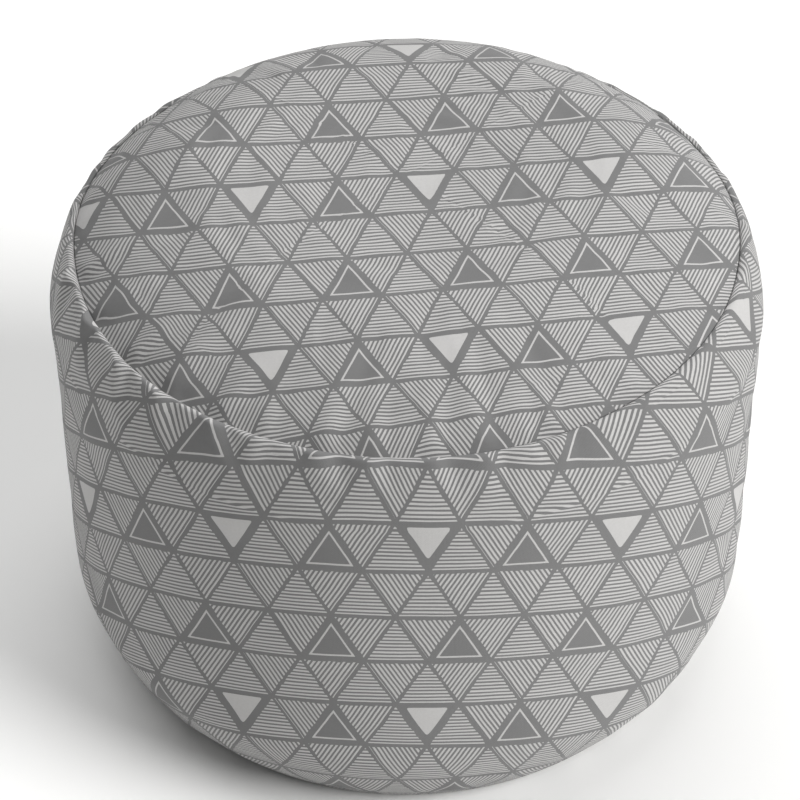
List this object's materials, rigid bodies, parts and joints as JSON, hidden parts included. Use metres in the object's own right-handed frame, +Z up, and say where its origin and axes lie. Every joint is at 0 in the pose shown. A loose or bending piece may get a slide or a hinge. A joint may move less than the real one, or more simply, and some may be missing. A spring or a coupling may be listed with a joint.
{
  "type": "round floor pouf",
  "caption": "Round floor pouf with a triangle-printed grey fabric cover, a zip across its base and a filled inner bag.",
  "frame": {"origin": "middle of the flat base, where the pouf meets the floor", "axes": "+Z up through the middle of the top, -Y to the front, +X to the right along the zip, whose closed end is at +X"},
  "size_m": [0.51, 0.51, 0.4],
  "materials": {
    "cover_fabric": "matte",
    "cover_thread": "matte",
    "zipper_tape": "matte",
    "zipper_plastic": "satin",
    "zipper_metal": "satin",
    "liner_fabric": "matte",
    "filling_fibre": "matte"
  },
  "bodies": {
    "pouf": {"cover_top_panel": "cover_fabric", "cover_side_panel": "cover_fabric", "cover_bottom_panel_front": "cover_fabric", "cover_bottom_panel_rear": "cover_fabric", "cover_top_seam_thread": "cover_thread", "cover_base_seam_thread": "cover_thread", "zipper_topstitching": "cover_thread", "zipper_tape_front": "zipper_tape", "zipper_tape_rear": "zipper_tape", "zipper_teeth_front": "zipper_plastic", "zipper_teeth_rear": "zipper_plastic", "zipper_top_stop_front": "zipper_metal", "zipper_top_stop_rear": "zipper_metal", "zipper_bottom_stop": "zipper_metal", "liner_top_panel": "liner_fabric", "liner_side_panel": "liner_fabric", "liner_bottom_panel": "liner_fabric", "liner_top_seam_thread": "liner_fabric", "liner_base_seam_thread": "liner_fabric", "filling": "filling_fibre"},
    "zipper_slider": {"zipper_slider": "zipper_metal"},
    "zipper_pull": {"zipper_pull": "zipper_metal"}
  },
  "joints": [
    {"name": "zipper_slide", "type": "slide", "parent": "pouf", "child": "zipper_slider", "axis": [-1, 0, 0], "range_m": [0, 0.3406]},
    {"name": "zipper_pull_tilt", "type": "hinge", "parent": "zipper_slider", "child": "zipper_pull", "pos_m": [0.1685, 0, 0.0031], "axis": [0, -1, 0], "range_deg": [0, 110]}
  ]
}
